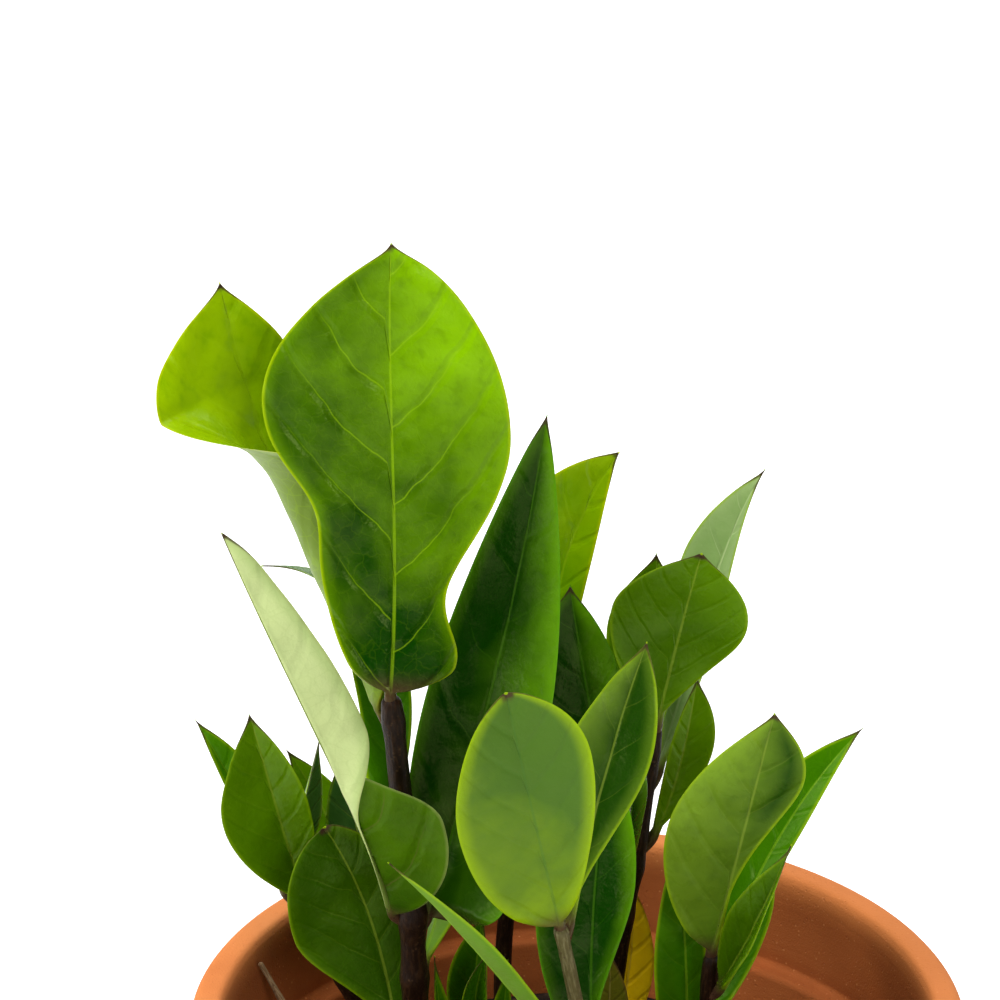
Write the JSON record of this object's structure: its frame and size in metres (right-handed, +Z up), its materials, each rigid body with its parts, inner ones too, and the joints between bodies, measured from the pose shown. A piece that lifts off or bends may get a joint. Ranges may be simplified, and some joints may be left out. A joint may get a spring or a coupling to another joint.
{
  "type": "potted zz plant",
  "caption": "Young ZZ plant with glossy pointed leaflets on upright dark stems, growing in a round terracotta flowerpot with a banded rim and a drainage hole.",
  "frame": {"origin": "centre of the pot's underside", "axes": "+Z up along the pot's axis, -Y towards the viewer who sees the tallest leaflet on the left"},
  "size_m": [0.1522, 0.15, 0.2991],
  "materials": {
    "terracotta": "matte",
    "soil": "matte",
    "dry_twig": "matte",
    "tuber": "matte",
    "stem_dark": "satin",
    "stem_green": "satin",
    "leaf_green": "gloss",
    "leaf_yellow": "satin",
    "leaf_brown": "satin"
  },
  "bodies": {
    "root": {"dry_twig": "dry_twig", "leaf_back_top": "leaf_green", "leaf_brown": "leaf_brown", "leaf_folded": "leaf_green", "leaf_front_dark": "leaf_green", "leaf_front_edge": "leaf_green", "leaf_front_right": "leaf_green", "leaf_front_round": "leaf_green", "leaf_left_a": "leaf_green", "leaf_left_b": "leaf_green", "leaf_left_c": "leaf_green", "leaf_left_d": "leaf_green", "leaf_left_e": "leaf_green", "leaf_low_front": "leaf_green", "leaf_middle_back": "leaf_green", "leaf_middle_dark": "leaf_green", "leaf_middle_left": "leaf_green", "leaf_middle_long": "leaf_green", "leaf_middle_low": "leaf_green", "leaf_middle_top": "leaf_green", "leaf_rear_back": "leaf_green", "leaf_rear_middle": "leaf_green", "leaf_rear_right": "leaf_green", "leaf_rear_tall": "leaf_green", "leaf_right_back": "leaf_green", "leaf_right_edge": "leaf_green", "leaf_right_front": "leaf_green", "leaf_right_left": "leaf_green", "leaf_right_low": "leaf_green", "leaf_shoot_back": "leaf_green", "leaf_shoot_left": "leaf_green", "leaf_shoot_right": "leaf_green", "leaf_shoot_rolled": "leaf_green", "leaf_tall_back": "leaf_green", "leaf_top": "leaf_green", "leaf_top_left": "leaf_green", "leaf_top_right": "leaf_green", "leaf_yellow": "leaf_yellow", "pot": "terracotta", "shoot_young": "stem_green", "soil": "soil", "stem_back": "stem_dark", "stem_front": "stem_green", "stem_left": "stem_dark", "stem_middle": "stem_dark", "stem_right": "stem_dark", "stem_tall": "stem_dark", "tuber_left": "tuber", "tuber_middle": "tuber", "tuber_right": "tuber"}
  },
  "joints": []
}
